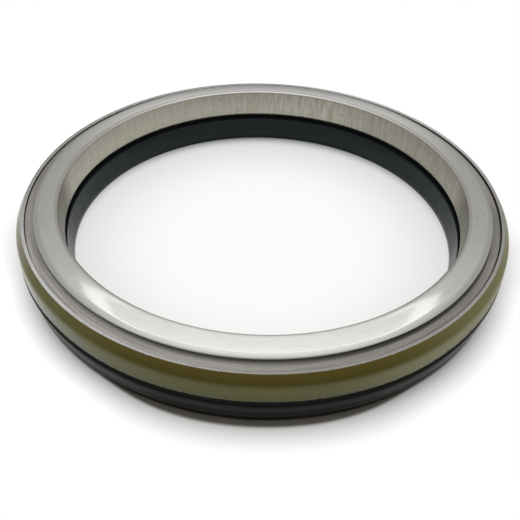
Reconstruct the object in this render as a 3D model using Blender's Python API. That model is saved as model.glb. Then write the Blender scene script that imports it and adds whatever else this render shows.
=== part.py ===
"""Unitized hub oil seal for a 4.75 in axle and a 6 in hub: a lipped case and the sleeve that turns in it.

Every piece is a ring about the Z axis. The seal lies on its rubber face, with the sleeve's flange on top.
Units are metres. A section is a closed loop of (radius, height) points that is spun once round the axis.
"""

import math

import bmesh
import bpy
from mathutils import Vector

# Fineness of the turned rings: steps of one turn, of a bend from WIDE_BEND up, of a tighter one and of the foot
TURN_STEPS = 64
WIDE_BEND = 0.0010
WIDE_BEND_STEPS = 2
TIGHT_BEND_STEPS = 1
ROUND_FOOT_STEPS = 4
SHARP_EDGE_DEGREES = 35

# The most of its shorter side that a bend may use, so that two neighbouring bends never meet
BEND_ROOM = 0.49

# Gap kept between pieces that are bonded or pressed together, and between those that run on each other
SEAT_GAP = 0.0003
RUNNING_GAP = 0.0003

# Outer case, pressed from sheet: a tapered rim, a cylinder that is pressed into the hub, a step and a floor.
# The hub's radius is the one that all other radii are counted from, inwards.
HUB_RADIUS = 0.0762
RIM_INSET = 0.0018
RIM_COLLAR = 0.0005
PRESS_BAND_FOOT = 0.0103
PRESS_BAND_HEIGHT = 0.0055
TAPER_HEIGHT = 0.0031
CASE_SHEET = 0.0010
CASE_STEP = 0.0019
CASE_STEP_HEIGHT = 0.0009
CASE_BEND = 0.0012
CASE_TAPER_BEND = 0.0024
CASE_STEP_BEND = 0.0006

# Rubber of the case: a sealing bead below the press band, a face under the floor, and the lips
BEAD_INSET = 0.0002
BEAD_GROOVE_DEPTH = 0.0007
BEAD_GROOVE_WIDTH = 0.0009
BEAD_FOOT_HEIGHT = 0.0048
FACE_EDGE_INSET = 0.0025
FACE_THICKNESS = 0.0021
FACE_CLEARANCE = 0.0008
FLOOR_EDGE_COVER = 0.0010
LIP_HINGE_THICKNESS = 0.0013
LIP_SPACING = 0.0036
MAIN_LIP_HEAD = 0.0034
MAIN_LIP_SLANT = 0.00085
DUST_LIP_CLEARANCE = 0.0026
DUST_LIP_THICKNESS = 0.0008

# Garter spring in the back of the main lip
SPRING_COIL_RADIUS = 0.0008
SPRING_LAND = 0.0016
SPRING_SIDES = 8

# Inner case ring, nested in the outer case, with a step down to the bore under the sleeve's flange
RING_SHEET = 0.0010
RING_BELOW_RIM = 0.0007
RING_STEP_INSET = 0.0016
RING_STEP_DROP = 0.0028
RING_BORE_CLEARANCE = 0.0010
RING_BEND = 0.0009

# Wear sleeve, pressed from sheet: crowned flange, tapered mouth, running cylinder and a turned-out foot
SLEEVE_SHEET = 0.0014
RIM_CLEARANCE = 0.0038
FLANGE_CLEARANCE = 0.0005
FLANGE_WIDTH = 0.0065
FLANGE_EDGE_WIDTH = 0.0017
FLANGE_EDGE_DROP = 0.0006
FLANGE_RISE = 0.00125
FLANGE_CROWN = 0.0003
MOUTH_FLARE = 0.0011
MOUTH_DEPTH = 0.0082
SLEEVE_JOGGLE = 0.0012
SLEEVE_STEP_HEIGHT = 0.0012
SLEEVE_FOOT = 0.0012
SLEEVE_FOOT_WIDTH = 0.0026
SLEEVE_BEND = 0.0009

# Rubber lining of the sleeve, which grips the axle
LINING_THICKNESS = 0.0027
LINING_RECESS = 0.0006
LINING_RECESS_HEIGHT = 0.0010
LINING_RECESS_BEND = 0.0005
LINING_LAND = 0.0019
LINING_LEAD_IN_BEND = 0.0015
LINING_FOOT_RAISE = 0.0006
LINING_FOOT_ROUND = 0.0015

# Heights that follow, from the rubber's face up
TAPER_FOOT = PRESS_BAND_FOOT + PRESS_BAND_HEIGHT
RIM_TOP = TAPER_FOOT + TAPER_HEIGHT
CASE_FLOOR_TOP = FACE_THICKNESS + SEAT_GAP + CASE_SHEET
FLANGE_FOOT = RIM_TOP - RING_BELOW_RIM + FLANGE_CLEARANCE
THROAT_HEIGHT = FLANGE_FOOT + SLEEVE_SHEET + FLANGE_RISE - MOUTH_DEPTH
DUST_LIP_HEIGHT = SLEEVE_FOOT + SLEEVE_SHEET + DUST_LIP_CLEARANCE
MAIN_LIP_HEIGHT = DUST_LIP_HEIGHT + LIP_SPACING
LINING_FOOT = SLEEVE_FOOT + LINING_FOOT_RAISE

# Radii that follow, from the hub inwards to the axle, and back out to the lips and the case's floor
RIM_RADIUS = HUB_RADIUS - RIM_INSET
FLANGE_RADIUS = RIM_RADIUS - CASE_SHEET - RIM_CLEARANCE
MOUTH_RADIUS = FLANGE_RADIUS - FLANGE_WIDTH
MOUTH_THROAT_RADIUS = MOUTH_RADIUS - MOUTH_FLARE
RUNNING_RADIUS = MOUTH_THROAT_RADIUS + SLEEVE_JOGGLE + SLEEVE_SHEET
LINING_BACK_RADIUS = RUNNING_RADIUS - SLEEVE_SHEET - SEAT_GAP
LINING_BORE_RADIUS = LINING_BACK_RADIUS - LINING_THICKNESS
SLEEVE_FOOT_RADIUS = RUNNING_RADIUS + SLEEVE_FOOT_WIDTH
FACE_BORE_RADIUS = SLEEVE_FOOT_RADIUS + FACE_CLEARANCE
CASE_FLOOR_BORE_RADIUS = FACE_BORE_RADIUS + FLOOR_EDGE_COVER
RING_BORE_RADIUS = RUNNING_RADIUS + RING_BORE_CLEARANCE
RING_STEP_RADIUS = FLANGE_RADIUS - RING_STEP_INSET
RING_SKIRT_RADIUS = HUB_RADIUS - CASE_STEP - CASE_SHEET - SEAT_GAP

# Colour, roughness and metallic value of each finish
LACQUERED_STEEL = ((0.13, 0.12, 0.04), 0.3, 0.3)
BLACK_RUBBER = ((0.015, 0.017, 0.016), 0.5, 0.0)
BRUSHED_RING_STEEL = ((0.30, 0.28, 0.25), 0.4, 1.0)
SPRING_STEEL = ((0.45, 0.45, 0.44), 0.3, 1.0)
BRIGHT_SLEEVE_STEEL = ((0.60, 0.59, 0.57), 0.25, 1.0)
LINING_RUBBER = ((0.018, 0.020, 0.019), 0.55, 0.0)


def arc_between(before, corner, after, radius):
    """Points of the arc that rounds one corner, or the corner itself where it has no bend."""
    towards_before = (before - corner).normalized()
    towards_after = (after - corner).normalized()
    turn = towards_before.angle(towards_after)
    if radius <= 0 or math.pi - turn < 0.01:
        return [corner]
    steps = WIDE_BEND_STEPS if radius >= WIDE_BEND else TIGHT_BEND_STEPS
    room = BEND_ROOM * min((before - corner).length, (after - corner).length)
    reach = min(radius / math.tan(turn / 2), room)
    radius = reach * math.tan(turn / 2)
    centre = corner + (towards_before + towards_after).normalized() * radius / math.sin(turn / 2)
    start = corner + towards_before * reach - centre
    sweep = start.angle_signed(corner + towards_after * reach - centre)
    points = []
    for step in range(steps + 1):
        angle = -sweep * step / steps
        points.append(centre + Vector((
            start.x * math.cos(angle) - start.y * math.sin(angle),
            start.x * math.sin(angle) + start.y * math.cos(angle),
        )))
    return points


def rounded_path(corners, closed):
    """Corners (radius, height, bend radius) joined into one line, with each bend as an arc."""
    points = []
    count = len(corners)
    for index, (radius, height, bend) in enumerate(corners):
        corner = Vector((radius, height))
        if not closed and index in (0, count - 1):
            points.append(corner)
            continue
        before = Vector(corners[index - 1][:2])
        after = Vector(corners[(index + 1) % count][:2])
        points.extend(arc_between(before, corner, after, bend))
    return points


def sheet_section(path, thickness):
    """The closed section of a sheet whose middle follows the path, with square cut ends."""
    left = []
    right = []
    for index, point in enumerate(path):
        directions = []
        if index > 0:
            directions.append((point - path[index - 1]).normalized())
        if index < len(path) - 1:
            directions.append((path[index + 1] - point).normalized())
        along = sum(directions, Vector((0, 0))).normalized()
        across = Vector((-along.y, along.x))
        stretch = 1 / max(across.dot(Vector((-directions[0].y, directions[0].x))), 0.5)
        left.append(point + across * thickness / 2 * stretch)
        right.append(point - across * thickness / 2 * stretch)
    return left + right[::-1]


def add_ring(name, section, material):
    """Spins a closed section round Z into one solid ring."""
    mesh = bpy.data.meshes.new(name)
    shape = bmesh.new()
    verts = [shape.verts.new((point.x, 0, point.y)) for point in section]
    edges = [shape.edges.new((verts[i - 1], verts[i])) for i in range(len(verts))]
    bmesh.ops.spin(
        shape, geom=verts + edges, cent=(0, 0, 0), axis=(0, 0, 1),
        angle=2 * math.pi, steps=TURN_STEPS, use_merge=True,
    )
    bmesh.ops.remove_doubles(shape, verts=shape.verts, dist=1e-6)
    bmesh.ops.recalc_face_normals(shape, faces=shape.faces)
    shape.to_mesh(mesh)
    shape.free()
    mesh.shade_smooth()
    mesh.set_sharp_from_angle(angle=math.radians(SHARP_EDGE_DEGREES))
    mesh.materials.append(material)
    ring = bpy.data.objects.new(name, mesh)
    bpy.context.scene.collection.objects.link(ring)
    return ring


def add_material(name, colour, roughness, metallic):
    material = bpy.data.materials.new(name)
    material.use_nodes = True
    material.diffuse_color = (*colour, 1)
    shader = material.node_tree.nodes["Principled BSDF"]
    shader.inputs["Base Color"].default_value = (*colour, 1)
    shader.inputs["Roughness"].default_value = roughness
    shader.inputs["Metallic"].default_value = metallic
    return material


def outer_case():
    """Pressed shell: the lacquered press band outside, the bare cut rim on top and the floor below."""
    half = CASE_SHEET / 2
    band = HUB_RADIUS - half
    lower = band - CASE_STEP
    floor = CASE_FLOOR_TOP - half
    corners = [
        (RIM_RADIUS - half, RIM_TOP, 0),
        (RIM_RADIUS - half, RIM_TOP - RIM_COLLAR, 0),
        (band, TAPER_FOOT, CASE_TAPER_BEND),
        (band, PRESS_BAND_FOOT, CASE_STEP_BEND),
        (lower, PRESS_BAND_FOOT - CASE_STEP_HEIGHT, CASE_STEP_BEND),
        (lower, floor, CASE_BEND),
        (CASE_FLOOR_BORE_RADIUS, floor, 0),
    ]
    return sheet_section(rounded_path(corners, closed=False), CASE_SHEET)


def under_case_step(radius):
    """Height of the underside of the case's step at one radius."""
    slope = CASE_STEP_HEIGHT / CASE_STEP
    middle = PRESS_BAND_FOOT - (HUB_RADIUS - CASE_SHEET / 2 - radius) * slope
    return middle - CASE_SHEET / 2 * math.hypot(1, slope)


def spring_centre():
    return Vector((RUNNING_RADIUS + RUNNING_GAP + SPRING_LAND + SPRING_COIL_RADIUS, MAIN_LIP_HEIGHT))


def round_about(centre, radius, first, last, steps):
    """Points from one angle to another, in degrees, on a circle of a section."""
    angles = [math.radians(first + (last - first) * step / steps) for step in range(steps + 1)]
    return [centre + Vector((math.cos(a), math.sin(a))) * radius for a in angles]


def case_rubber():
    """Bonded rubber, from the groove under the press band: bead, face, dust lip, main lip and hinge."""
    wall = HUB_RADIUS - CASE_STEP + SEAT_GAP
    bead = HUB_RADIUS - BEAD_INSET
    groove = bead - BEAD_GROOVE_DEPTH
    wall_top = under_case_step(wall) - SEAT_GAP
    groove_top = under_case_step(groove) - SEAT_GAP
    under_floor = CASE_FLOOR_TOP - CASE_SHEET - SEAT_GAP
    over_floor = CASE_FLOOR_TOP + SEAT_GAP
    floor_edge = CASE_FLOOR_BORE_RADIUS - SEAT_GAP
    hinge_back = CASE_FLOOR_BORE_RADIUS + LIP_HINGE_THICKNESS
    contact = RUNNING_RADIUS + RUNNING_GAP
    head_top = MAIN_LIP_HEIGHT + MAIN_LIP_HEAD / 2
    pocket = (SPRING_COIL_RADIUS + SEAT_GAP) / math.cos(math.pi / SPRING_SIDES)
    half_side = 180 / SPRING_SIDES
    pocket_points = round_about(spring_centre(), pocket, 90 + half_side, 270 - half_side, SPRING_SIDES // 2 - 1)
    outside = rounded_path([
        (wall, wall_top, 0),
        (groove, groove_top, 0),
        (groove, groove_top - BEAD_GROOVE_WIDTH, 0),
        (bead, groove_top - 2 * BEAD_GROOVE_WIDTH, BEAD_GROOVE_WIDTH),
        (bead, BEAD_FOOT_HEIGHT, 0),
    ], closed=False)
    foot = []
    for step in range(1, ROUND_FOOT_STEPS + 1):
        angle = math.pi / 2 * step / ROUND_FOOT_STEPS
        foot.append(Vector((
            bead - FACE_EDGE_INSET * (1 - math.cos(angle)),
            BEAD_FOOT_HEIGHT * (1 - math.sin(angle)),
        )))
    lips = rounded_path([
        (FACE_BORE_RADIUS, 0, 0),
        (FACE_BORE_RADIUS, DUST_LIP_HEIGHT - 2 * DUST_LIP_THICKNESS, 0),
        (contact, DUST_LIP_HEIGHT - DUST_LIP_THICKNESS / 2, 0),
        (contact, DUST_LIP_HEIGHT, 0),
        (FACE_BORE_RADIUS, DUST_LIP_HEIGHT + DUST_LIP_THICKNESS / 2, 0),
        (contact, MAIN_LIP_HEIGHT, 0),
        (contact + MAIN_LIP_SLANT, head_top, 0),
        (pocket_points[0].x, head_top, 0),
    ], closed=False)
    hinge = rounded_path([
        (pocket_points[-1].x, pocket_points[-1].y, 0),
        (hinge_back, DUST_LIP_HEIGHT + LIP_HINGE_THICKNESS / 2, LIP_HINGE_THICKNESS / 2),
        (hinge_back, over_floor, 0),
        (floor_edge, over_floor, 0),
        (floor_edge, under_floor, 0),
        (wall, under_floor, CASE_BEND - CASE_SHEET / 2),
        (wall, wall_top, 0),
    ], closed=False)
    return outside + foot + lips + pocket_points + hinge[1:-1]


def garter_spring():
    """The closed coil as one ring of its outer size."""
    step = 360 / SPRING_SIDES
    return round_about(spring_centre(), SPRING_COIL_RADIUS, 0, 360 - step, SPRING_SIDES - 1)


def inner_case_ring():
    """Pressed ring: skirt inside the outer case, face just below its rim and a step down to the bore."""
    half = RING_SHEET / 2
    skirt = RING_SKIRT_RADIUS - half
    face = RIM_TOP - RING_BELOW_RIM - half
    corners = [
        (RING_BORE_RADIUS, face - RING_STEP_DROP, 0),
        (RING_STEP_RADIUS - half, face - RING_STEP_DROP, RING_BEND),
        (RING_STEP_RADIUS - half, face, RING_BEND),
        (skirt, face, 0),
        (skirt, CASE_FLOOR_TOP + CASE_BEND - half + SEAT_GAP, 0),
    ]
    return sheet_section(rounded_path(corners, closed=False), RING_SHEET)


def wear_sleeve():
    """Pressed sleeve: flange over the case, mouth that leads the axle in, running cylinder and foot."""
    half = SLEEVE_SHEET / 2
    flange = FLANGE_FOOT + half
    running = RUNNING_RADIUS - half
    corners = [
        (FLANGE_RADIUS, flange, 0),
        (FLANGE_RADIUS - FLANGE_EDGE_WIDTH, flange + FLANGE_EDGE_DROP, 0),
        (FLANGE_RADIUS - FLANGE_WIDTH / 2, flange + FLANGE_RISE / 2 + FLANGE_CROWN, 0),
        (MOUTH_RADIUS + half, flange + FLANGE_RISE, SLEEVE_BEND),
        (MOUTH_THROAT_RADIUS + half, THROAT_HEIGHT, SLEEVE_BEND),
        (running, THROAT_HEIGHT - SLEEVE_STEP_HEIGHT, SLEEVE_BEND),
        (running, SLEEVE_FOOT + half, SLEEVE_BEND),
        (SLEEVE_FOOT_RADIUS, SLEEVE_FOOT + half, 0),
    ]
    return sheet_section(rounded_path(corners, closed=False), SLEEVE_SHEET)


def under_sleeve_step(radius):
    """Height of the underside of the step below the sleeve's throat at one radius."""
    half = SLEEVE_SHEET / 2
    throat = MOUTH_THROAT_RADIUS + half
    slope = SLEEVE_STEP_HEIGHT / (RUNNING_RADIUS - half - throat)
    return THROAT_HEIGHT - (radius - throat) * slope - half * math.hypot(1, slope)


def sleeve_lining():
    """Bonded rubber in the sleeve's bore: a recess under the throat, a lead-in taper and a rounded foot."""
    gap = SEAT_GAP * math.sqrt(2)
    back = LINING_BACK_RADIUS
    lip = MOUTH_THROAT_RADIUS + LINING_RECESS / 2
    lip_top = under_sleeve_step(lip) - gap
    recess_foot = lip_top - LINING_RECESS_HEIGHT
    corners = [
        (back, under_sleeve_step(back) - gap, 0),
        (lip, lip_top, 0),
        (lip + LINING_RECESS / 2, recess_foot, LINING_RECESS_BEND),
        (lip - LINING_RECESS, recess_foot - LINING_RECESS_HEIGHT, LINING_RECESS_BEND),
        (LINING_BORE_RADIUS, LINING_FOOT + LINING_LAND, LINING_LEAD_IN_BEND),
        (LINING_BORE_RADIUS, LINING_FOOT, LINING_FOOT_ROUND),
        (back, LINING_FOOT, 0),
    ]
    return rounded_path(corners, closed=True)


def main():
    for leftover in list(bpy.data.objects):
        bpy.data.objects.remove(leftover, do_unlink=True)
    add_ring("outer_case", outer_case(), add_material("lacquered_steel", *LACQUERED_STEEL))
    add_ring("case_rubber", case_rubber(), add_material("black_rubber", *BLACK_RUBBER))
    add_ring("garter_spring", garter_spring(), add_material("spring_steel", *SPRING_STEEL))
    add_ring("inner_case_ring", inner_case_ring(), add_material("brushed_ring_steel", *BRUSHED_RING_STEEL))
    add_ring("wear_sleeve", wear_sleeve(), add_material("bright_sleeve_steel", *BRIGHT_SLEEVE_STEEL))
    add_ring("sleeve_lining", sleeve_lining(), add_material("lining_rubber", *LINING_RUBBER))


main()
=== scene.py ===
# Unitized hub oil seal: turned steel and rubber rings around a coil spring, on a white studio floor
import math

import bpy
from mathutils import Matrix, Vector


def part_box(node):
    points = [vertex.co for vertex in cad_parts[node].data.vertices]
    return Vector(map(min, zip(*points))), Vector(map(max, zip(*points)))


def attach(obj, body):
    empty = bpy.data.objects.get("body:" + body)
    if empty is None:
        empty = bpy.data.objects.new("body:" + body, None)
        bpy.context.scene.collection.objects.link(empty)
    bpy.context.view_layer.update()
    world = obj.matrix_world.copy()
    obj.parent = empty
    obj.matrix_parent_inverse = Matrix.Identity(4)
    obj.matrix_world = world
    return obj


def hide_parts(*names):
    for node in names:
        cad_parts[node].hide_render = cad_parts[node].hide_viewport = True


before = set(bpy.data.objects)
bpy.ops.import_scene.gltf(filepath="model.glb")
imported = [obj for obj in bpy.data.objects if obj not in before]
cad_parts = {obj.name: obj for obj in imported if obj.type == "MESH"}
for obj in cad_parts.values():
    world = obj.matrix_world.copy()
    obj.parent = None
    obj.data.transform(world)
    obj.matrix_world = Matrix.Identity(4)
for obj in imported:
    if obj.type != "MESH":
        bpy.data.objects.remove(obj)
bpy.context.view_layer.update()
mm = 0.001


# Node trees, for geometry and for materials

class Wire:  # one output socket, so that shader maths reads as Python
    def __init__(self, sheet, socket):
        self.sheet = sheet
        self.socket = socket

    def maths(self, operation, *values):
        return self.sheet.node("ShaderNodeMath", {"operation": operation}, dict(enumerate(values)))

    def __add__(self, other):
        return self.maths("ADD", self, other)

    def __sub__(self, other):
        return self.maths("SUBTRACT", self, other)

    def __mul__(self, other):
        return self.maths("MULTIPLY", self, other)

    def __truediv__(self, other):
        return self.maths("DIVIDE", self, other)

    def __pow__(self, other):
        return self.maths("POWER", self, other)

    def __radd__(self, other):
        return self.maths("ADD", other, self)

    def __rsub__(self, other):
        return self.maths("SUBTRACT", other, self)

    def __rmul__(self, other):
        return self.maths("MULTIPLY", other, self)

    def __rtruediv__(self, other):
        return self.maths("DIVIDE", other, self)

    def modulo(self, other):
        return self.maths("MODULO", self, other)

    def larger(self, other):
        return self.maths("MAXIMUM", self, other)

    def wholePart(self):
        return self.maths("FLOOR", self)

    def withoutSign(self):
        return self.maths("ABSOLUTE", self)

    def cosine(self):
        return self.maths("COSINE", self)

    def sine(self):
        return self.maths("SINE", self)

    def part(self, axis):  # one number of a vector
        return self.sheet.node("ShaderNodeSeparateXYZ", {}, {0: self}, axis)


class Sheet:  # a node tree and the one way to put nodes on it
    def __init__(self, tree):
        self.tree = tree

    def node(self, kind, settings=None, inputs=None, output=0):
        made = self.tree.nodes.new(kind)
        for name, value in (settings or {}).items():
            if name == "stops":
                ramp = made.color_ramp
                while len(ramp.elements) < len(value):
                    ramp.elements.new(0.5)
                for element, (place, level) in zip(ramp.elements, value):
                    element.position = place
                    element.color = (level, level, level, 1)
            else:
                setattr(made, name, value)
        for name, value in (inputs or {}).items():
            if isinstance(value, Wire):
                self.tree.links.new(value.socket, made.inputs[name])
            else:
                made.inputs[name].default_value = value
        return Wire(self, made.outputs[output])

    def join(self, x, y, z):
        return self.node("ShaderNodeCombineXYZ", {}, {0: x, 1: y, 2: z})

    def step(self, value, low, high, atLow=0.0, atHigh=1.0):  # smooth from low to high, level beyond them
        return self.node("ShaderNodeMapRange", {"interpolation_type": "SMOOTHSTEP"}, {
            0: value, 1: low, 2: high, 3: atLow, 4: atHigh,
        })

    def ramp(self, value, low, high, atLow=0.0, atHigh=1.0):  # straight from low to high, level beyond them
        return self.node("ShaderNodeMapRange", {}, {0: value, 1: low, 2: high, 3: atLow, 4: atHigh})

    def levels(self, value, stops):
        grey = self.node("ShaderNodeValToRGB", {"stops": stops}, {0: value})
        return self.node("ShaderNodeSeparateColor", {}, {0: grey})


class Finish(Sheet):  # a material, with the patterns that turned parts have
    def __init__(self, name, **constants):
        self.material = bpy.data.materials.new(name)
        self.material.use_nodes = True
        super().__init__(self.material.node_tree)
        self.shader = self.tree.nodes["Principled BSDF"]
        for socket, value in constants.items():
            self.shader.inputs[socket.replace("_", " ")].default_value = value
        self.place = self.node("ShaderNodeTexCoord", output="Object")
        x = self.place.part(0)
        y = self.place.part(1)
        reach = (x * x + y * y) ** 0.5
        self.unitX = x / reach
        self.unitY = y / reach
        self.radius = reach / mm  # radius and height in millimetres
        self.z = self.place.part(2) / mm

    def feed(self, socket, wire):
        self.tree.links.new(wire.socket, self.shader.inputs[socket])

    def mix(self, share, first, second):  # a shade is a wire or (red, green, blue)
        first, second = (shade if isinstance(shade, Wire) else (*shade, 1) for shade in (first, second))
        return self.node("ShaderNodeMix", {"data_type": "RGBA"}, {0: share, 6: first, 7: second}, 2)

    def noise(self, vector, scale, detail=2.0, roughness=0.5):
        return self.node("ShaderNodeTexNoise", {}, {
            "Vector": vector, "Scale": scale, "Detail": detail, "Roughness": roughness,
        })

    def ringNoise(self, perTurn, alongRadius=0.0, alongHeight=0.0, seed=0.0, detail=2.0, roughness=0.5):
        # Runs round the axis without a seam: perTurn sets how fast it changes with the angle
        third = self.radius * alongRadius + self.z * alongHeight + seed
        return self.noise(self.join(self.unitX * perTurn, self.unitY * perTurn, third), 1.0, detail, roughness)

    def towards(self, degrees):  # cosine of the angle from that direction: 0 is right, 90 back, -90 front
        across = math.radians(degrees)
        return self.unitX * math.cos(across) + self.unitY * math.sin(across)

    def side(self, degrees, low, high):  # 1 on that side of the axis, fading in from cosine low to high
        return self.step(self.towards(degrees), low, high)

    def line(self, degrees, low, high):  # the same on both sides of the axis, by the cosine squared
        reach = self.towards(degrees)
        return self.step(reach * reach, low, high)

    def bump(self, height, distance):
        return self.node("ShaderNodeBump", {}, {"Height": height, "Distance": distance, "Strength": 1.0})


# Sections. A section is a closed loop of corners (radius, height, bend radius), all in millimetres

bendSteps = 6
edgeSteps = 4
edgeCorner = math.radians(30)  # a sheet's corners that turn more than this are rounded
straightCorner = 0.01  # radians; a corner that turns less is no bend
sideShare = 0.49  # of each side that a bend may take, so that two bends never meet
leastFacing = 0.5  # keeps a sheet's sides near its middle at a tight corner


def bendPoints(before, corner, after, bend, steps):
    towardsBefore = (before - corner).normalized()
    towardsAfter = (after - corner).normalized()
    turn = towardsBefore.angle(towardsAfter)
    if bend <= 0 or math.pi - turn < straightCorner:
        return [corner]
    room = sideShare * min((before - corner).length, (after - corner).length)
    reach = min(bend / math.tan(turn / 2), room)
    bend = reach * math.tan(turn / 2)
    centre = corner + (towardsBefore + towardsAfter).normalized() * bend / math.sin(turn / 2)
    start = corner + towardsBefore * reach - centre
    sweep = start.angle_signed(corner + towardsAfter * reach - centre)
    points = []
    for step in range(steps + 1):
        angle = -sweep * step / steps
        points.append(centre + Vector((
            start.x * math.cos(angle) - start.y * math.sin(angle),
            start.x * math.sin(angle) + start.y * math.cos(angle),
        )))
    return points


def roundedPath(corners, closed):
    points = []
    for index, (radius, height, bend) in enumerate(corners):
        corner = Vector((radius, height))
        if not closed and index in (0, len(corners) - 1):
            points.append(corner)
            continue
        before = Vector(corners[index - 1][:2])
        after = Vector(corners[(index + 1) % len(corners)][:2])
        points.extend(bendPoints(before, corner, after, bend, bendSteps))
    return points


def sheetSection(path, thickness, edge):
    # Both sides of a sheet whose middle follows the path, with its cut ends and sharp corners rounded by edge
    left = []
    right = []
    for index, point in enumerate(path):
        directions = []
        if index > 0:
            directions.append((point - path[index - 1]).normalized())
        if index < len(path) - 1:
            directions.append((path[index + 1] - point).normalized())
        along = sum(directions, Vector((0, 0))).normalized()
        across = Vector((-along.y, along.x))
        facing = across.dot(Vector((-directions[0].y, directions[0].x)))
        reach = thickness / 2 / max(facing, leastFacing)
        left.append(point + across * reach)
        right.append(point - across * reach)
    loop = left + right[::-1]
    rounded = []
    for index, point in enumerate(loop):
        before = loop[index - 1]
        after = loop[(index + 1) % len(loop)]
        sharp = (point - before).angle(after - point) > edgeCorner
        rounded.extend(bendPoints(before, point, after, edge, edgeSteps) if sharp else [point])
    return rounded


def roundAbout(centre, radius, first, last, steps):
    angles = [math.radians(first + (last - first) * step / steps) for step in range(steps + 1)]
    return [centre + Vector((math.cos(a), math.sin(a))) * radius for a in angles]


# Geometry Nodes

mergeDistance = 0.001 * mm


def newTree(name, sizes):
    tree = bpy.data.node_groups.new(name, "GeometryNodeTree")
    tree.interface.new_socket("Geometry", in_out="INPUT", socket_type="NodeSocketGeometry")
    for label, kind in sizes:
        tree.interface.new_socket(label, in_out="INPUT", socket_type="NodeSocket" + kind)
    tree.interface.new_socket("Geometry", in_out="OUTPUT", socket_type="NodeSocketGeometry")
    sheet = Sheet(tree)
    given = tree.nodes.new("NodeGroupInput")
    return sheet, {socket.name: Wire(sheet, socket) for socket in given.outputs if socket.name}


def endTree(sheet, shape, material):
    shape = sheet.node("GeometryNodeSetShadeSmooth", {}, {0: shape, "Shade Smooth": True})
    shape = sheet.node("GeometryNodeRealizeInstances", {}, {0: shape})
    shape = sheet.node("GeometryNodeSetMaterial", {}, {0: shape, "Material": material})
    sheet.tree.links.new(shape.socket, sheet.tree.nodes.new("NodeGroupOutput").inputs[0])
    return sheet.tree


def turnedRingTree():
    # Spins the points of a section round Z: a grid whose rows are the section's points
    sheet, given = newTree("turned ring", [("Turn Steps", "Int"), ("Material", "Material")])
    section = given["Geometry"]
    turnSteps = given["Turn Steps"]
    sectionPoints = sheet.node("GeometryNodeAttributeDomainSize", {}, {0: section})
    grid = sheet.node("GeometryNodeMeshGrid", {}, {
        "Size X": 1.0, "Size Y": 1.0, "Vertices X": sectionPoints + 1, "Vertices Y": turnSteps + 1,
    })
    index = sheet.node("GeometryNodeInputIndex")
    row = ((index + 0.5) / (turnSteps + 1)).wholePart()  # 0.5 and 0.25 keep whole numbers safe from rounding
    column = index - row * (turnSteps + 1)
    place = sheet.node("GeometryNodeSampleIndex", {"data_type": "FLOAT_VECTOR"}, {
        "Geometry": section, 1: sheet.node("GeometryNodeInputPosition"),
        "Index": (row + 0.25).modulo(sectionPoints).wholePart(),
    })
    angle = column * (2 * math.pi) / turnSteps
    radius = place.part(0)
    turned = sheet.join(radius * angle.cosine(), radius * angle.sine(), place.part(2))
    ring = sheet.node("GeometryNodeSetPosition", {}, {"Geometry": grid, "Position": turned})
    ring = sheet.node("GeometryNodeMergeByDistance", {}, {0: ring, "Distance": mergeDistance})
    return endTree(sheet, ring, given["Material"])


def coilSpringTree():
    # A wire wound round a ring, as a helix that closes on itself
    sheet, given = newTree("garter spring", [
        ("Ring Radius", "Float"), ("Ring Height", "Float"), ("Coil Radius", "Float"), ("Wire Radius", "Float"),
        ("Coil Turns", "Int"), ("Steps Per Turn", "Int"), ("Wire Sides", "Int"), ("Material", "Material"),
    ])
    count = given["Coil Turns"] * given["Steps Per Turn"]
    line = sheet.node("GeometryNodeCurvePrimitiveCircle", {}, {"Resolution": count, "Radius": 1.0})
    index = sheet.node("GeometryNodeInputIndex")
    aroundRing = index * (2 * math.pi) / count
    aroundCoil = index * (2 * math.pi) / given["Steps Per Turn"]
    reach = given["Coil Radius"] - given["Wire Radius"]
    radius = given["Ring Radius"] + reach * aroundCoil.cosine()
    height = given["Ring Height"] + reach * aroundCoil.sine()
    place = sheet.join(radius * aroundRing.cosine(), radius * aroundRing.sine(), height)
    line = sheet.node("GeometryNodeSetPosition", {}, {"Geometry": line, "Position": place})
    sides = sheet.node("GeometryNodeCurvePrimitiveCircle", {}, {
        "Resolution": given["Wire Sides"], "Radius": given["Wire Radius"],
    })
    spring = sheet.node("GeometryNodeCurveToMesh", {}, {0: line, 1: sides})
    return endTree(sheet, spring, given["Material"])


def enclosedVolume(mesh):
    mesh.calc_loop_triangles()
    total = 0.0
    for triangle in mesh.loop_triangles:
        a, b, c = (mesh.vertices[i].co for i in triangle.vertices)
        total += a.dot(b.cross(c)) / 6
    return total


def grow(name, mesh, tree, sizes):
    # Runs a geometry tree on a mesh and keeps the result as a plain mesh whose faces point outwards
    holder = bpy.data.objects.new(name + " source", mesh)
    bpy.context.scene.collection.objects.link(holder)
    modifier = holder.modifiers.new("grow", "NODES")
    modifier.node_group = tree
    sockets = {item.name: item.identifier for item in tree.interface.items_tree if item.in_out == "INPUT"}
    for label, value in sizes.items():
        modifier[sockets[label]] = value
    bpy.context.view_layer.update()
    evaluated = holder.evaluated_get(bpy.context.evaluated_depsgraph_get())
    grown = bpy.data.meshes.new_from_object(evaluated)
    grown.name = name
    bpy.data.objects.remove(holder)
    if enclosedVolume(grown) < 0:
        grown.flip_normals()
    piece = bpy.data.objects.new(name, grown)
    bpy.context.scene.collection.objects.link(piece)
    return piece


def settle(piece, body, node):
    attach(piece, body)
    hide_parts(node)
    print("made", piece.name, len(piece.data.polygons), "faces")


turning = {"steps": 384, "creaseDegrees": 40}
ringTree = turnedRingTree()
springTree = coilSpringTree()


def turnRing(name, section, finish, body, node):
    mesh = bpy.data.meshes.new(name + " section")
    mesh.from_pydata([(point.x * mm, 0, point.y * mm) for point in section], [], [])
    piece = grow(name, mesh, ringTree, {"Turn Steps": turning["steps"], "Material": finish})
    piece.data.set_sharp_from_angle(angle=math.radians(turning["creaseDegrees"]))
    settle(piece, body, node)


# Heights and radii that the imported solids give, in millimetres

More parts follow.
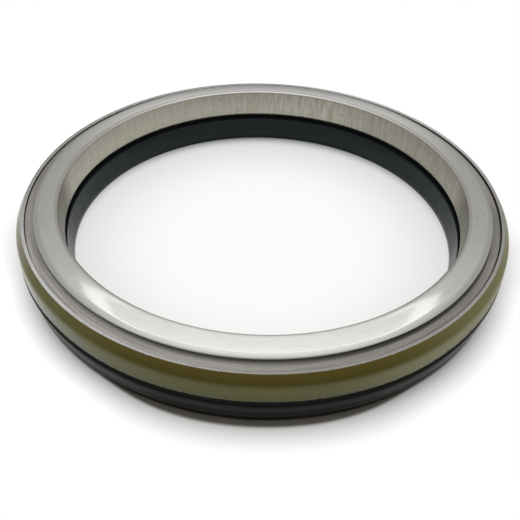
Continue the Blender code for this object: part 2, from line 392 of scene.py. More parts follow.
def reachOf(node):
    low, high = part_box(node)
    return {"radius": high.x / mm, "foot": low.z / mm, "top": high.z / mm}


caseReach = reachOf("outer_case")
springReach = reachOf("garter_spring")
ringReach = reachOf("inner_case_ring")
sleeveReach = reachOf("wear_sleeve")
liningReach = reachOf("sleeve_lining")


# In the dictionaries of finishes below, a side or a line is (degrees, low, high), a pair of shades runs
# from the first to the second, and a fade is the two places or noise levels between which something shows

# Outer case: pressed steel under olive lacquer, with a bare cut rim

outerCase = {
    "sheet": 1.0, "rimInset": 1.8, "rimCollar": 0.5, "taperHeight": 3.1, "bandHeight": 5.5,
    "step": 1.9, "stepHeight": 0.9, "floorTop": 3.4, "floorBore": 69.0,
    "bend": 1.2, "collarBend": 0.6, "taperBend": 2.4, "stepBend": 0.6, "cutEdge": 0.12,
}

lacquer = {
    "roughness": 0.36, "cloudRoughness": 0.10, "metallic": 0.4, "coat": 0.9, "coatLostRight": 0.8,
    "coatRoughness": 0.16, "coatIOR": 1.35,
    "wide": {"perTurn": 2.2, "alongHeight": 0.02, "detail": 3.0},
    "cloud": {"perTurn": 14.0, "alongHeight": 0.12, "seed": 3.0, "detail": 4.0},
    "frontSide": (-90, 0.62, 0.97), "rightSide": (-5, 0.3, 0.85),
    "taperFrontShade": ((0.092, 0.078, 0.014), (0.150, 0.108, 0.018)), "taperStart": 0.2,
    "taper": ((0.150, 0.140, 0.044), (0.190, 0.180, 0.060)), "taperRightSheen": (0.225, 0.212, 0.092),
    "band": ((0.086, 0.087, 0.014), (0.102, 0.099, 0.018)), "bandRightSheen": (0.225, 0.220, 0.110),
    "bandFoot": (0.064, 0.065, 0.010), "bandFootShadeFade": (2.4, 5.0),
    "taperReflectionFade": (1.2, 0.2), "taperReflectionWaver": 0.8, "taperReflectionShare": 0.85,
}

bareRim = {
    "fade": (0.18, 0.04), "waver": 0.25,
    "chips": {"perTurn": 60.0, "seed": 9.0, "detail": 1.0}, "chipFade": (0.66, 0.72), "chipDepth": 0.3,
    "insideFade": (0.05, 0.15), "insideFoot": (14.5, 15.5), "insideSide": (155, 0.1, 0.8),
    "litLine": (45, 0.45, 0.95), "frontShare": 0.5,
    "silver": ((0.43, 0.42, 0.40), (0.74, 0.735, 0.72)),
    "silverFrontShade": (0.26, 0.25, 0.22), "silverInsideHighlight": (0.92, 0.91, 0.89),
    "speckle": (0.22, 0.215, 0.20), "speckleScale": 1700.0, "speckleFade": (0.35, 0.65), "speckleShare": 0.35,
}

rubberCreep = {  # rubber that crept over the foot of the band: most at the sides, with flecks at the right front
    "shade": (0.010, 0.011, 0.009), "share": 0.9, "height": 0.2, "soft": 0.2,
    "sideLine": (0, 0.2, 0.6), "sideHeight": 0.85,
    "ragged": {"perTurn": 75.0, "alongHeight": 0.5, "seed": 5.0}, "raggedHeight": 0.8,
    "fleckFade": (0.54, 0.64), "fleckSide": (-30, 0.93, 0.98), "fleckHeight": 0.5,
}


# The lacquer's colour: its olive tones with cloudy noise, plus the painted reflection, sheen and shade marked below
def lacquerShade(finish, taperFoot, cloud, right, front):
    look = lacquer
    wide = finish.ringNoise(**look["wide"])
    # painted shade: at the front the taper is darker and browner, lightening towards the top
    taperRise = finish.step(finish.z, taperFoot - look["taperStart"], caseReach["top"])
    # painted sheen: on the right side the taper and the band are lighter
    taper = finish.mix(right, finish.mix(cloud, *look["taper"]), look["taperRightSheen"])
    taper = finish.mix(front, taper, finish.mix(taperRise, *look["taperFrontShade"]))
    # painted shade: the band darkens towards its foot, beside the shadowed floor
    lower, lowest = look["bandFootShadeFade"]
    band = finish.mix(cloud, *look["band"])
    band = finish.mix(finish.step(finish.z, taperFoot - lower, taperFoot - lowest), band, look["bandFoot"])
    band = finish.mix(right, band, look["bandRightSheen"])
    # painted reflection: the taper takes a darker, browner colour than the band, standing in for the dark room it
    # reflects; noise wavers the line between them
    below, above = look["taperReflectionFade"]
    waver = (wide - 0.5) * look["taperReflectionWaver"]
    taperReflection = finish.step(finish.z + waver, taperFoot - below, taperFoot + above)
    return finish.mix(taperReflection * (look["taperReflectionShare"] + cloud * (1 - look["taperReflectionShare"])), band, taper)


def rimSilver(finish, cloud, front):
    # How bare the steel is, and its colour, with a painted highlight along one diagonal, painted shade at the front
    # and a painted highlight on the inner face towards the back left
    look = bareRim
    chips = finish.step(finish.ringNoise(**look["chips"]), *look["chipFade"]) * look["chipDepth"]
    height = finish.z + (cloud - 0.5) * look["waver"] + chips
    bare = finish.step(height, *(caseReach["top"] - drop for drop in look["fade"]))
    innerWall = caseReach["radius"] - outerCase["rimInset"] - outerCase["sheet"]
    inside = 1 - finish.step(finish.radius, *(innerWall + gap for gap in look["insideFade"]))
    bare = bare.larger(inside * finish.step(finish.z, *look["insideFoot"]))
    silver = finish.mix(finish.line(*look["litLine"]), *look["silver"])
    silver = finish.mix(front * look["frontShare"], silver, look["silverFrontShade"])
    silver = finish.mix(inside * finish.side(*look["insideSide"]), silver, look["silverInsideHighlight"])
    speckle = finish.step(finish.noise(finish.place, look["speckleScale"]), *look["speckleFade"])
    return bare, finish.mix(speckle * look["speckleShare"], silver, look["speckle"])


def creptRubber(finish, bandFoot):
    look = rubberCreep
    ragged = finish.ringNoise(**look["ragged"])
    flecks = finish.step(ragged, *look["fleckFade"]) * finish.side(*look["fleckSide"])
    top = bandFoot + look["height"] + finish.line(*look["sideLine"]) * look["sideHeight"]
    top = top + (ragged - 0.5) * look["raggedHeight"] + flecks * look["fleckHeight"]
    return 1 - finish.step(finish.z - top, 0.0, look["soft"])


def lacqueredSteel():
    look = lacquer
    finish = Finish("lacquered steel", Specular_IOR_Level=0.0, Coat_Weight=1.0,
                    Coat_Roughness=look["coatRoughness"], Coat_IOR=look["coatIOR"])
    cloud = finish.ringNoise(**look["cloud"])
    front = finish.side(*look["frontSide"])
    right = finish.side(*look["rightSide"])
    taperFoot = caseReach["top"] - outerCase["taperHeight"]
    creep = creptRubber(finish, taperFoot - outerCase["bandHeight"])
    bare, silver = rimSilver(finish, cloud, front)
    colour = lacquerShade(finish, taperFoot, cloud, right, front)
    colour = finish.mix(creep * rubberCreep["share"], colour, rubberCreep["shade"])
    finish.feed("Base Color", finish.mix(bare, colour, silver))
    finish.feed("Metallic", look["metallic"] + bare * (1 - look["metallic"]))
    finish.feed("Roughness", look["roughness"] + cloud * look["cloudRoughness"])
    finish.feed("Coat Weight", (1 - bare) * (1 - creep) * (1 - right * look["coatLostRight"]) * look["coat"])
    return finish.material


def outerCaseSection():
    size = outerCase
    half = size["sheet"] / 2
    band = caseReach["radius"] - half
    rim = band - size["rimInset"]
    taperFoot = caseReach["top"] - size["taperHeight"]
    bandFoot = taperFoot - size["bandHeight"]
    caseFloor = size["floorTop"] - half
    path = roundedPath([
        (rim, caseReach["top"], 0),
        (rim, caseReach["top"] - size["rimCollar"], size["collarBend"]),
        (band, taperFoot, size["taperBend"]),
        (band, bandFoot, size["stepBend"]),
        (band - size["step"], bandFoot - size["stepHeight"], size["stepBend"]),
        (band - size["step"], caseFloor, size["bend"]),
        (size["floorBore"], caseFloor, 0),
    ], closed=False)
    return sheetSection(path, size["sheet"], size["cutEdge"])


turnRing("outer_case_shell", outerCaseSection(), lacqueredSteel(), "case", "outer_case")


# Case rubber: the black bead and face below the press band, and the lips inside

caseRubber = {
    "wall": 74.6, "wallTop": 9.6,
    "flash": 76.18, "flashTop": 10.6, "flashFoot": 9.3, "flashSlope": 0.25, "flashBend": 0.05, "flashFootBend": 0.2,
    "groove": 74.9, "grooveTop": 9.15, "grooveWidth": 0.9, "grooveBend": 0.3, "grooveFootBend": 0.2,
    "bead": 75.4, "beadTop": 7.44, "beadTopBend": 0.6, "beadFoot": 6.6, "beadFootBend": 1.2,
    "chamferBulge": 0.1, "chamferBend": 6.0, "edge": 73.5, "edgeRound": 0.7, "edgeFace": 2.0,
    "faceBore": 68.0, "boreFace": 0.6, "boreBend": 0.3,
    "floorEdge": 68.7, "underFloor": 2.1, "overFloor": 3.7, "cornerBend": 0.7,
    "contact": 64.9, "dustLip": 5.2, "dustLipThickness": 0.8, "dustRootBend": 0.5, "dustTipBend": 0.1,
    "valleyBend": 0.4, "mainLip": 8.8, "mainTipBend": 0.08,
    "slant": 0.85, "headTop": 10.5, "headBend": 0.2, "headBackBend": 0.1,
    "pocket": 1.1, "pocketArc": (115, 245), "pocketSteps": 12, "hinge": 70.3, "hingeThickness": 1.3,
}

mouldedRubber = {
    "coatRoughness": 0.28, "coatIOR": 1.28, "coat": 0.8, "cloudCoat": 0.4, "coatLostFront": 0.38,
    "roughness": 0.42, "cloudRoughness": 0.16,
    "cloud": {"perTurn": 9.0, "alongHeight": 0.2, "detail": 3.0}, "frontSide": (-90, 0.5, 0.95),
    "rubber": ((0.0085, 0.0095, 0.0080), (0.014, 0.0155, 0.0130)),
    "groove": (0.018, 0.0195, 0.0175), "grooveSoft": 0.45, "grainScale": 4200.0, "grainHeight": 0.01 * mm,
}


def blackRubber():
    look = mouldedRubber
    finish = Finish("black rubber", Specular_IOR_Level=0.0, Coat_Weight=1.0,
                    Coat_Roughness=look["coatRoughness"], Coat_IOR=look["coatIOR"])
    cloud = finish.ringNoise(**look["cloud"])
    grooveFoot = caseRubber["grooveTop"] - caseRubber["grooveWidth"]
    groove = finish.step(finish.z, grooveFoot - look["grooveSoft"], grooveFoot)
    front = finish.side(*look["frontSide"])
    grain = finish.noise(finish.place, look["grainScale"])
    # painted light: from the groove's foot up, the rubber is lighter and has no coat, lifting the groove's shade
    finish.feed("Base Color", finish.mix(groove, finish.mix(cloud, *look["rubber"]), look["groove"]))
    finish.feed("Roughness", look["roughness"] + cloud * look["cloudRoughness"])
    coat = (look["coat"] + cloud * look["cloudCoat"]) * (1 - front * look["coatLostFront"])
    finish.feed("Coat Weight", (1 - groove) * coat)
    finish.feed("Normal", finish.bump(grain, look["grainHeight"]))
    return finish.material


def springCentre():
    return Vector((springReach["radius"] - (springReach["top"] - springReach["foot"]) / 2,
                   (springReach["top"] + springReach["foot"]) / 2))


def caseRubberSection():
    size = caseRubber
    halfLip = size["dustLipThickness"] / 2
    halfHinge = size["hingeThickness"] / 2
    outside = roundedPath([
        (size["wall"], size["wallTop"], 0),
        (size["flash"] - size["flashSlope"], size["flashTop"], 0),
        (size["flash"], size["flashTop"], size["flashBend"]),
        (size["flash"], size["flashFoot"], size["flashFootBend"]),
        (size["groove"], size["grooveTop"], size["grooveBend"]),
        (size["groove"], size["grooveTop"] - size["grooveWidth"], size["grooveFootBend"]),
        (size["bead"], size["beadTop"], size["beadTopBend"]),
        (size["bead"], size["beadFoot"], size["beadFootBend"]),
        ((size["bead"] + size["edge"]) / 2 + size["chamferBulge"], size["beadFoot"] / 2, size["chamferBend"]),
        (size["edge"], 0, size["edgeRound"]),
        (size["edge"] - size["edgeFace"], 0, 0),
    ], closed=False)
    pocket = roundAbout(springCentre(), size["pocket"], *size["pocketArc"], size["pocketSteps"])
    lips = roundedPath([
        (size["faceBore"] + size["boreFace"], 0, 0),
        (size["faceBore"], 0, size["boreBend"]),
        (size["faceBore"], size["dustLip"] - 2 * size["dustLipThickness"], size["dustRootBend"]),
        (size["contact"], size["dustLip"] - halfLip, size["dustTipBend"]),
        (size["contact"], size["dustLip"], size["dustTipBend"]),
        (size["faceBore"], size["dustLip"] + halfLip, size["valleyBend"]),
        (size["contact"], size["mainLip"], size["mainTipBend"]),
        (size["contact"] + size["slant"], size["headTop"], size["headBend"]),
        (pocket[0].x, size["headTop"], size["headBackBend"]),
        (pocket[0].x, pocket[0].y, 0),
    ], closed=False)
    hinge = roundedPath([
        (pocket[-1].x, pocket[-1].y, 0),
        (size["hinge"], size["dustLip"] + halfHinge, halfHinge),
        (size["hinge"], size["overFloor"], 0),
        (size["floorEdge"], size["overFloor"], 0),
        (size["floorEdge"], size["underFloor"], 0),
        (size["wall"], size["underFloor"], size["cornerBend"]),
        (size["wall"], size["wallTop"], 0),
    ], closed=False)
    return outside + lips[:-1] + pocket + hinge[1:-1]


turnRing("case_rubber_moulding", caseRubberSection(), blackRubber(), "case", "case_rubber")


# Garter spring: a closed coil of fine wire

garterSpring = {
    "wireRadius": 0.17, "coilTurns": 1100, "stepsPerTurn": 6, "wireSides": 4, "roughness": 0.3,
    "stain": {"perTurn": 30.0}, "steel": ((0.42, 0.42, 0.40), (0.55, 0.55, 0.53)),
}


def springSteel():
    finish = Finish("spring steel", Roughness=garterSpring["roughness"], Metallic=1.0)
    stain = finish.ringNoise(**garterSpring["stain"])
    finish.feed("Base Color", finish.mix(stain, *garterSpring["steel"]))
    return finish.material


def windSpring():
    size = garterSpring
    centre = springCentre()
    coilRadius = (springReach["top"] - springReach["foot"]) / 2
    piece = grow("garter_spring_coil", bpy.data.meshes.new("spring source"), springTree, {
        "Ring Radius": centre.x * mm, "Ring Height": centre.y * mm, "Coil Radius": coilRadius * mm,
        "Wire Radius": size["wireRadius"] * mm, "Coil Turns": size["coilTurns"],
        "Steps Per Turn": size["stepsPerTurn"], "Wire Sides": size["wireSides"], "Material": springSteel(),
    })
    settle(piece, "case", "garter_spring")


windSpring()


# Inner case ring: dull grey face between the rim and the flange, finely turned

innerRing = {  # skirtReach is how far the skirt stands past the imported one, which thins the gap to the rim
    "sheet": 1.0, "stepRadius": 68.0, "stepDrop": 2.8, "bore": 65.6, "skirtFoot": 4.4, "skirtReach": 0.25,
    "bend": 0.9, "cutEdge": 0.15,
}

turnedSteel = {
    "metallic": 0.35, "roughness": 0.52, "cloudRoughness": 0.16,
    "grooves": {"perTurn": 2.0, "alongRadius": 5.0, "alongHeight": 5.0, "detail": 3.0, "roughness": 0.7},
    "grooveHeight": 0.03 * mm,
    "cloud": {"perTurn": 26.0, "alongRadius": 0.4, "detail": 3.0},
    "lines": {"perTurn": 3.0, "alongRadius": 1.6, "seed": 4.0}, "lineShare": 0.65,
    "speckleScale": 2300.0, "toneFade": (0.38, 0.62), "litLine": (60, 0.0, 0.95),
    "shade": ((0.235, 0.225, 0.195), (0.345, 0.33, 0.29)),
    "bright": ((0.35, 0.335, 0.30), (0.53, 0.51, 0.465)),
    # the next three shades are painted: light beside the flange at the front, the flange's shadow at the right
    # front, and shade in the rim gap on the right
    "besideFlangeLight": (0.72, 0.70, 0.64), "besideFlangeLightFade": (70.2, 72.2), "besideFlangeLightSide": (-90, 0.5, 0.9), "besideFlangeLightShare": 0.6,
    "flangeShadow": (0.06, 0.055, 0.045), "flangeShadowFade": (70.5, 71.2), "flangeShadowSide": (-32, 0.55, 0.95), "flangeShadowShare": 0.7,
    "rimGapShade": (0.02, 0.019, 0.016), "rimGapShadeFade": (0.45, 0.15), "rimGapShadeSide": (-10, 0.2, 0.8), "rimGapShadeShare": 0.85,
}


def turnedRingSteel():
    look = turnedSteel
    finish = Finish("turned ring steel", Metallic=look["metallic"], Specular_IOR_Level=0.5)
    grooves = finish.ringNoise(**look["grooves"])
    cloud = finish.ringNoise(**look["cloud"])
    lines = finish.ringNoise(**look["lines"]) * look["lineShare"]
    speckle = finish.noise(finish.place, look["speckleScale"]) * (1 - look["lineShare"])
    tone = finish.step(lines + speckle, *look["toneFade"])
    lit = finish.line(*look["litLine"])
    colour = finish.mix(lit, finish.mix(tone, *look["shade"]), finish.mix(tone, *look["bright"]))
    # painted light: at the front the ring is lighter next to the flange, lifting the flange's shade
    besideFlangeLight = (1 - finish.step(finish.radius, *look["besideFlangeLightFade"])) * finish.side(*look["besideFlangeLightSide"])
    colour = finish.mix(besideFlangeLight * look["besideFlangeLightShare"], colour, look["besideFlangeLight"])
    # painted shade: on the right the ring darkens at its outer edge, in the gap to the rim
    edge = ringReach["radius"] + innerRing["skirtReach"]
    rimGapShade = finish.step(finish.radius, *(edge - inset for inset in look["rimGapShadeFade"])) * finish.side(*look["rimGapShadeSide"])
    colour = finish.mix(rimGapShade * look["rimGapShadeShare"], colour, look["rimGapShade"])
    # painted shadow: at the right front the ring darkens next to the flange, as the flange's shadow
    flangeShadow = (1 - finish.step(finish.radius, *look["flangeShadowFade"])) * finish.side(*look["flangeShadowSide"])
    finish.feed("Base Color", finish.mix(flangeShadow * look["flangeShadowShare"], colour, look["flangeShadow"]))
    finish.feed("Roughness", look["roughness"] + cloud * look["cloudRoughness"])
    finish.feed("Normal", finish.bump(grooves, look["grooveHeight"]))
    return finish.material


def innerRingSection():
    size = innerRing
    half = size["sheet"] / 2
    skirt = ringReach["radius"] + size["skirtReach"] - half
    step = size["stepRadius"] - half
    face = ringReach["top"] - half
    path = roundedPath([
        (size["bore"], face - size["stepDrop"], 0),
        (step, face - size["stepDrop"], size["bend"]),
        (step, face, size["bend"]),
        (skirt, face, 0),
        (skirt, size["skirtFoot"], 0),
    ], closed=False)
    return sheetSection(path, size["sheet"], size["cutEdge"])


turnRing("inner_case_ring_plate", innerRingSection(), turnedRingSteel(),
         "case", "inner_case_ring")


# Wear sleeve: bright flange, matte streaked mouth and the running cylinder

wearSleeve = {
    "sheet": 1.4, "outer": 70.2, "flangeFoot": 18.7, "flangeRise": 1.165, "flangeCrown": 0.08,
    "edgeWidth": 1.25, "edgeDrop": 0.5, "edgeCurve": 1.45, "crownSteps": 24,
    "mouth": 62.95, "throat": 62.0, "mouthDepth": 8.15, "running": 64.6, "stepHeight": 1.2, "footRadius": 67.2,
    "bend": 0.9, "mouthBend": 1.0, "cutEdge": 0.5,
}

flangeLook = {
    "roughness": 0.07, "cloudRoughness": 0.05, "lipRoughness": 0.2,
    "cloud": {"perTurn": 6.0, "alongRadius": 0.5, "alongHeight": 0.05, "seed": 7.0, "detail": 3.0},
    "steel": ((0.625, 0.61, 0.585), (0.705, 0.69, 0.665)),
    "hazeNoise": {"perTurn": 16.0, "alongRadius": 0.9, "seed": 11.0, "detail": 4.0, "roughness": 0.6},
    "haze": (0.42, 0.41, 0.385), "hazeFade": (0.52, 0.70), "hazeShare": 0.18,
    "edge": (0.46, 0.45, 0.43), "edgeFade": (68.7, 69.4), "edgeShadeShare": 0.45,
    "lip": (0.33, 0.31, 0.27), "lipFade": (63.8, 64.5), "lipShare": 0.25,
    "lipEnds": (90, 0.35, 0.9), "lipSideShadeShare": 0.4,
}

mouthLook = {
    "topInset": 0.05, "topSoft": 0.7, "edgeFade": (63.6, 64.4), "roughness": 0.42, "streakRoughness": 0.2,
    "streaks": {"perTurn": 70.0, "alongHeight": 0.12, "detail": 3.0, "roughness": 0.6},
    "streakFade": (0.30, 0.70), "streakHeight": 0.03 * mm,
    "steel": ((0.45, 0.435, 0.36), (0.67, 0.65, 0.565)),
    "plainShare": 0.45, "streakSide": (35, 0.25, 0.85), "streakShare": 0.75,
    "low": (0.40, 0.385, 0.32), "lowFade": (16.0, 12.7), "lowShare": 0.35,
    "smudgeNoise": {"perTurn": 34.0, "alongHeight": 0.9, "seed": 2.0, "detail": 4.0, "roughness": 0.7},
    "smudge": (0.20, 0.19, 0.15), "smudgeFade": (0.57, 0.72), "smudgeShare": 0.55,
    "right": (0.30, 0.29, 0.235), "rightSide": (20, 0.6, 1.0), "rightShare": 0.5,
    "front": (0.17, 0.165, 0.13), "frontSide": (90, 0.14, -0.06), "frontShare": 0.8,
}


def flangeShade(finish, cloud, lip):
    look = flangeLook
    colour = finish.mix(cloud, *look["steel"])
    haze = finish.step(finish.ringNoise(**look["hazeNoise"]), *look["hazeFade"])
    colour = finish.mix(haze * look["hazeShare"], colour, look["haze"])
    # painted shade: the flange's outer band is darker
    edge = finish.step(finish.radius, *look["edgeFade"])
    colour = finish.mix(edge * look["edgeShadeShare"], colour, look["edge"])
    # painted shade: the mouth's rounded lip is darker, most at the left and right, which dims its highlight there
    lipSide = 1 - finish.line(*look["lipEnds"])
    return finish.mix(lip * (look["lipShare"] + lipSide * look["lipSideShadeShare"]), colour, look["lip"])


def mouthShade(finish, streaks):
    look = mouthLook
    contrast = look["plainShare"] + finish.side(*look["streakSide"]) * look["streakShare"]
    colour = finish.mix((finish.step(streaks, *look["streakFade"]) - 0.5) * contrast + 0.5, *look["steel"])
    low = finish.step(finish.z, *look["lowFade"])
    colour = finish.mix(low * look["lowShare"], colour, look["low"])
    smudges = finish.step(finish.ringNoise(**look["smudgeNoise"]), *look["smudgeFade"])
    colour = finish.mix(smudges * look["smudgeShare"], colour, look["smudge"])
    # painted shade: the mouth wall is darker on its right side and on the sleeve's front half
    colour = finish.mix(finish.side(*look["rightSide"]) * look["rightShare"], colour, look["right"])
    return finish.mix(finish.side(*look["frontSide"]) * look["frontShare"], colour, look["front"])


def brightSleeveSteel():
    finish = Finish("bright sleeve steel", Metallic=1.0)
    mouthTop = sleeveReach["top"] - mouthLook["topInset"]
    below = 1 - finish.step(finish.z, mouthTop - mouthLook["topSoft"], mouthTop)
    mouth = below * (1 - finish.step(finish.radius, *mouthLook["edgeFade"]))
    streaks = finish.ringNoise(**mouthLook["streaks"])
    cloud = finish.ringNoise(**flangeLook["cloud"])
    lip = 1 - finish.step(finish.radius, *flangeLook["lipFade"])
    finish.feed("Base Color", finish.mix(mouth, flangeShade(finish, cloud, lip), mouthShade(finish, streaks)))
    polished = flangeLook["roughness"] + cloud * flangeLook["cloudRoughness"] + lip * flangeLook["lipRoughness"]
    matte = mouthLook["roughness"] + streaks * mouthLook["streakRoughness"]
    finish.feed("Roughness", polished * (1 - mouth) + matte * mouth)
    finish.feed("Normal", finish.bump(streaks * mouth, mouthLook["streakHeight"]))
    return finish.material


def wearSleeveSection():
    size = wearSleeve
    half = size["sheet"] / 2
    flange = size["flangeFoot"] + half
    inner = size["mouth"] + half
    throatHeight = flange + half + size["flangeRise"] - size["mouthDepth"]
    running = size["running"] - half
    foot = sleeveReach["foot"] + half
    crown = []
    for step in range(size["crownSteps"]):
        share = step / size["crownSteps"]
        inset = (size["outer"] - inner) * share
        edge = max(0, 1 - inset / size["edgeWidth"])
        dish = size["edgeDrop"] + (size["flangeRise"] - size["edgeDrop"]) * share
        roll = size["edgeDrop"] * edge ** size["edgeCurve"]
        arch = size["flangeCrown"] * 4 * share * (1 - share)  # highest half way in
        crown.append((size["outer"] - inset, flange + dish - roll + arch, 0))
    path = roundedPath(crown + [
        (inner, flange + size["flangeRise"], size["mouthBend"]),
        (size["throat"] + half, throatHeight, size["bend"]),
        (running, throatHeight - size["stepHeight"], size["bend"]),
        (running, foot, size["bend"]),
        (size["footRadius"], foot, 0),
    ], closed=False)
    return sheetSection(path, size["sheet"], size["cutEdge"])


turnRing("wear_sleeve_shell", wearSleeveSection(), brightSleeveSteel(),
         "sleeve", "wear_sleeve")


# Sleeve lining: satin black rubber that grips the axle, with a recess under the mouth darkened by painted shade

sleeveLining = {
    "back": 62.9, "backTop": 11.53, "backBend": 0.2, "lip": 62.3, "lipTop": 12.13, "lipBend": 0.08,
    "recess": 0.6, "recessHeight": 0.85, "recessBend": 0.5,
    "bore": 60.2, "land": 1.9, "leadInBend": 1.5, "footRound": 1.4, "footLift": 1.0,
}

satinRubber = {
    "coatRoughness": 0.17, "coatIOR": 1.33, "coat": 0.65, "cloudCoat": 0.4, "coatLostBack": 0.6,
    "roughness": 0.44, "cloudRoughness": 0.16, "cloud": {"perTurn": 12.0, "alongHeight": 0.3, "detail": 3.0},
    "rubber": ((0.0070, 0.0165, 0.0160), (0.0100, 0.0205, 0.0200)),
    "back": (0.031, 0.0375, 0.040), "backSide": (90, 0.55, 0.95), "backFade": (3.5, 5.5),
    "recess": (0.0070, 0.0082, 0.0088), "recessFade": (-0.1, 0.4),
}


def liningRubber():
    look = satinRubber
    finish = Finish("lining rubber", Specular_IOR_Level=0.0, Coat_Weight=1.0,
                    Coat_Roughness=look["coatRoughness"], Coat_IOR=look["coatIOR"])
    cloud = finish.ringNoise(**look["cloud"])
    recessFoot = sleeveLining["lipTop"] - 2 * sleeveLining["recessHeight"]
    recess = finish.step(finish.z, *(recessFoot + rise for rise in look["recessFade"]))
    back = finish.side(*look["backSide"])
    colour = finish.mix(cloud, *look["rubber"])
    # painted sheen: on the back side, above the foot, the lining is lighter and has less coat
    colour = finish.mix(back * finish.step(finish.z, *look["backFade"]), colour, look["back"])
    # painted shade: the recess under the mouth is darker and has no coat
    finish.feed("Base Color", finish.mix(recess, colour, look["recess"]))
    finish.feed("Roughness", look["roughness"] + cloud * look["cloudRoughness"])
    coat = (look["coat"] + cloud * look["cloudCoat"]) * (1 - back * look["coatLostBack"])
    finish.feed("Coat Weight", (1 - recess) * coat)
    return finish.material


def liningSection():
    size = sleeveLining
    foot = liningReach["foot"] + size["footLift"]
    recessMiddle = size["lipTop"] - size["recessHeight"]
    return roundedPath([
        (size["back"], size["backTop"], 0),
        (size["lip"], size["lipTop"], size["lipBend"]),
        (size["lip"] + size["recess"] / 2, recessMiddle, size["recessBend"]),
        (size["lip"] - size["recess"], recessMiddle - size["recessHeight"], size["recessBend"]),
        (size["bore"], foot + size["land"], size["leadInBend"]),
        (size["bore"], foot, size["footRound"]),
        (size["back"], foot, size["backBend"]),
    ], closed=True)


turnRing("sleeve_lining_band", liningSection(), liningRubber(), "sleeve", "sleeve_lining")


# Floor: white, with the seal's own shadow near it, partly lifted by painted light, and a painted shadow ring at its
# foot

floorLook = {
    "size": 60.0, "roughness": 0.9, "shade": (0.93, 0.93, 0.91), "inside": (0.96, 0.96, 0.945),
    "white": (1.0, 1.0, 1.0), "frontSide": (-90, 0.80, 0.99), "rightSide": (-25, 0.5, 0.92),
    "sideLine": (0, 0.55, 0.95), "sideBack": (90, -0.35, 0.05),
    # contact is a painted shadow ring in the floor's colour, placed inside and outside the seal's foot and widest at
    # the front
    "contact": (0.235, 0.215, 0.18), "paintedShadowInside": (63.6, 67.0), "paintedShadowOutside": (73.2, 74.2),
    "paintedShadowFront": (1.9, 2.45), "nearShare": 0.2, "frontShare": 0.12, "rightShare": 0.09,
    "shadowEnd": 80.8, "frontShadow": 3.0, "rightShadow": 1.7, "sideShadow": 5.5,
    "wallShadow": (60.5, 67.5), "wallShare": 0.62, "boreShadow": (30.0, 58.0),
    "far": (0.38, 0.38, 0.37), "farFade": (110.0, 200.0),
}


def floorWhite():
    # Real shadow near the seal, partly lifted by a white glow that grows outwards, and a painted shadow in the
    # floor's colour at its foot; further off, rays from the camera and from gloss see plain white, except gloss rays
    # very far off, which see grey
    look = floorLook
    finish = Finish("floor white", Roughness=look["roughness"], Specular_IOR_Level=0.0)
    glossy = finish.node("ShaderNodeLightPath", output="Is Glossy Ray")
    seen = finish.node("ShaderNodeLightPath", output="Is Camera Ray").larger(glossy)
    seen = seen.larger(finish.node("ShaderNodeLightPath", output="Is Transmission Ray"))
    front = finish.side(*look["frontSide"])
    right = finish.side(*look["rightSide"])
    beside = finish.line(*look["sideLine"]) * finish.side(*look["sideBack"])
    contactStart, contactEnd = (
        radius + front * more for radius, more in zip(look["paintedShadowOutside"], look["paintedShadowFront"])
    )
    clear = finish.step(finish.radius, contactStart, contactEnd)
    # painted shadow: the floor's colour darkens in a ring at the seal's foot, inside and out, widest at the front
    under = finish.step(finish.radius, *look["paintedShadowInside"]) * (1 - clear)
    finish.feed("Base Color", finish.mix(under, look["shade"], look["contact"]))
    # the white glow starts at a share right beside the painted shadow and grows outwards, so painted light partly
    # lifts the real shadow there, more at the front and less at the right
    share = look["nearShare"] + front * look["frontShare"] - right * look["rightShare"]
    shadowEnd = look["shadowEnd"] + front * look["frontShadow"] + right * look["rightShadow"]
    shadowEnd = shadowEnd + beside * look["sideShadow"]
    outside = clear * share + finish.ramp(finish.radius, contactEnd, shadowEnd, 0.0, 1 - share)
    nearWall = 1 - finish.step(finish.radius, *look["wallShadow"])
    middle = 1 - finish.step(finish.radius, *look["boreShadow"])
    inside = nearWall * look["wallShare"] + middle * (1 - look["wallShare"])
    far = finish.step(finish.radius, *look["farFade"]) * glossy
    shade = finish.mix(far, finish.mix(outside, look["inside"], look["white"]), look["far"])
    glow = finish.node("ShaderNodeEmission", {}, {"Color": shade, "Strength": 1.0})
    surface = finish.node("ShaderNodeMixShader", {}, {
        0: seen * (outside + inside), 1: Wire(finish, finish.shader.outputs[0]), 2: glow,
    })
    finish.tree.links.new(surface.socket, finish.tree.nodes["Material Output"].inputs[0])
    return finish.material


def layFloor():
    half = floorLook["size"] / 2
    mesh = bpy.data.meshes.new("floor")
    mesh.from_pydata([(-half, -half, 0), (half, -half, 0), (half, half, 0), (-half, half, 0)], [], [(0, 1, 2, 3)])
    mesh.materials.append(floorWhite())
    floor = bpy.data.objects.new("floor", mesh)
    bpy.context.scene.collection.objects.link(floor)


# Light: an overhead panel with a brighter frame, and a soft room

panel = {
    "centre": (0.0, 0.27, 0.60), "size": (0.50, 0.34), "brightness": 0.225,
    "frameWidth": 0.035, "sideFrameWidth": 0.058, "frameGain": 2.9,
}

room = {  # levels by height in the room, from straight down to straight up
    "levels": [
        (0.0, 0.42), (0.2, 0.46), (0.46, 0.50), (0.55, 0.52), (0.66, 0.64), (0.82, 0.92), (0.92, 1.15), (1.0, 1.3),
    ],
    "frontFade": (-0.2, -0.6), "frontGain": 0.55, "sideFade": (0.45, 0.9), "sideGain": 1.15,
    "glowLevels": [(0.0, 0.0), (0.25, 0.0), (0.36, 1.0), (0.40, 0.9), (0.50, 0.0)],
    "backGlow": 0.28, "glowWidth": (0.18, 0.36), "glowDepth": (0.0, 0.3),
}


def areaLight(name, centre, size, brightness):
    # brightness is the radiance of the panel's face, where 1 is white
    light = bpy.data.lights.new(name, "AREA")
    light.shape = "RECTANGLE"
    light.size, light.size_y = size
    light.energy = brightness * math.pi * size[0] * size[1]
    lamp = bpy.data.objects.new(name, light)
    lamp.location = centre
    bpy.context.scene.collection.objects.link(lamp)


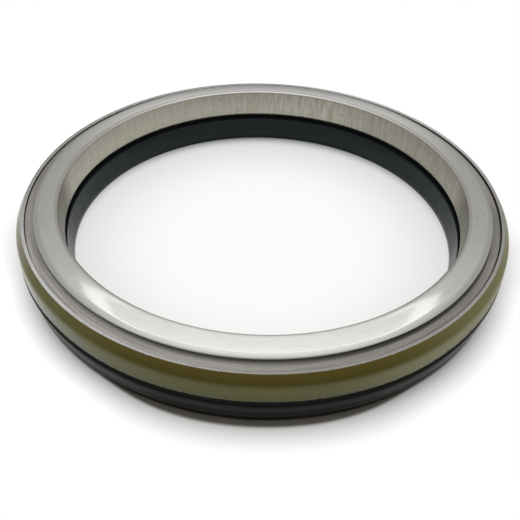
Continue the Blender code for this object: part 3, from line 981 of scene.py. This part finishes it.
def hangPanel():
    x, y, z = panel["centre"]
    width, depth = panel["size"]
    edge = panel["frameWidth"]
    sideEdge = panel["sideFrameWidth"]
    bright = panel["brightness"] * panel["frameGain"]
    areaLight("panel", (x, y, z), (width, depth), panel["brightness"])
    for side in (-1, 1):
        areaLight("frame side", (x + side * (width + sideEdge) / 2, y, z), (sideEdge, depth + 2 * edge), bright)
        areaLight("frame end", (x, y + side * (depth + edge) / 2, z), (width, edge), bright)


def lightRoom():
    world = bpy.data.worlds.new("soft room")
    world.use_nodes = True
    bpy.context.scene.world = world
    sheet = Sheet(world.node_tree)
    direction = sheet.node("ShaderNodeTexCoord", output="Generated")
    width = direction.part(0).withoutSign()
    depth = direction.part(1)
    height = direction.part(2)
    front = sheet.ramp(depth, *room["frontFade"], 1.0, room["frontGain"])
    side = sheet.ramp(width, *room["sideFade"], 1.0, room["sideGain"])
    behind = sheet.step(width, *room["glowWidth"], room["backGlow"], 0.0) * sheet.ramp(depth, *room["glowDepth"])
    strength = sheet.levels(height, room["levels"]) * front * side
    strength = strength + sheet.levels(height, room["glowLevels"]) * behind
    background = world.node_tree.nodes["Background"]
    background.inputs["Color"].default_value = (1, 1, 1, 1)
    world.node_tree.links.new(strength.socket, background.inputs["Strength"])


layFloor()
hangPanel()
lightRoom()
print("laid the floor and lit the room")


# Camera, fitted to the ellipses of the rings

camera = {
    "place": (0.0, -0.20114, 0.16233), "down": 40.231, "turn": -0.161, "roll": 1.609, "lens": 54.12, "sensor": 36.0,
}


def setCamera():
    data = bpy.data.cameras.new("camera")
    data.sensor_width = camera["sensor"]
    data.lens = camera["lens"]
    eye = bpy.data.objects.new("camera", data)
    bpy.context.scene.collection.objects.link(eye)
    down, turn, roll = (math.radians(camera[angle]) for angle in ("down", "turn", "roll"))
    forward = Vector((math.sin(turn) * math.cos(down), math.cos(turn) * math.cos(down), -math.sin(down)))
    right = forward.cross(Vector((0, 0, 1))).normalized()
    up = right.cross(forward)
    across = right * math.cos(roll) + up * math.sin(roll)
    upright = up * math.cos(roll) - right * math.sin(roll)
    turned = Matrix((across, upright, -forward)).transposed().to_4x4()
    eye.matrix_world = Matrix.Translation(Vector(camera["place"])) @ turned
    bpy.context.scene.camera = eye


setCamera()
bpy.context.scene.view_settings.view_transform = "Standard"
print("set the camera")
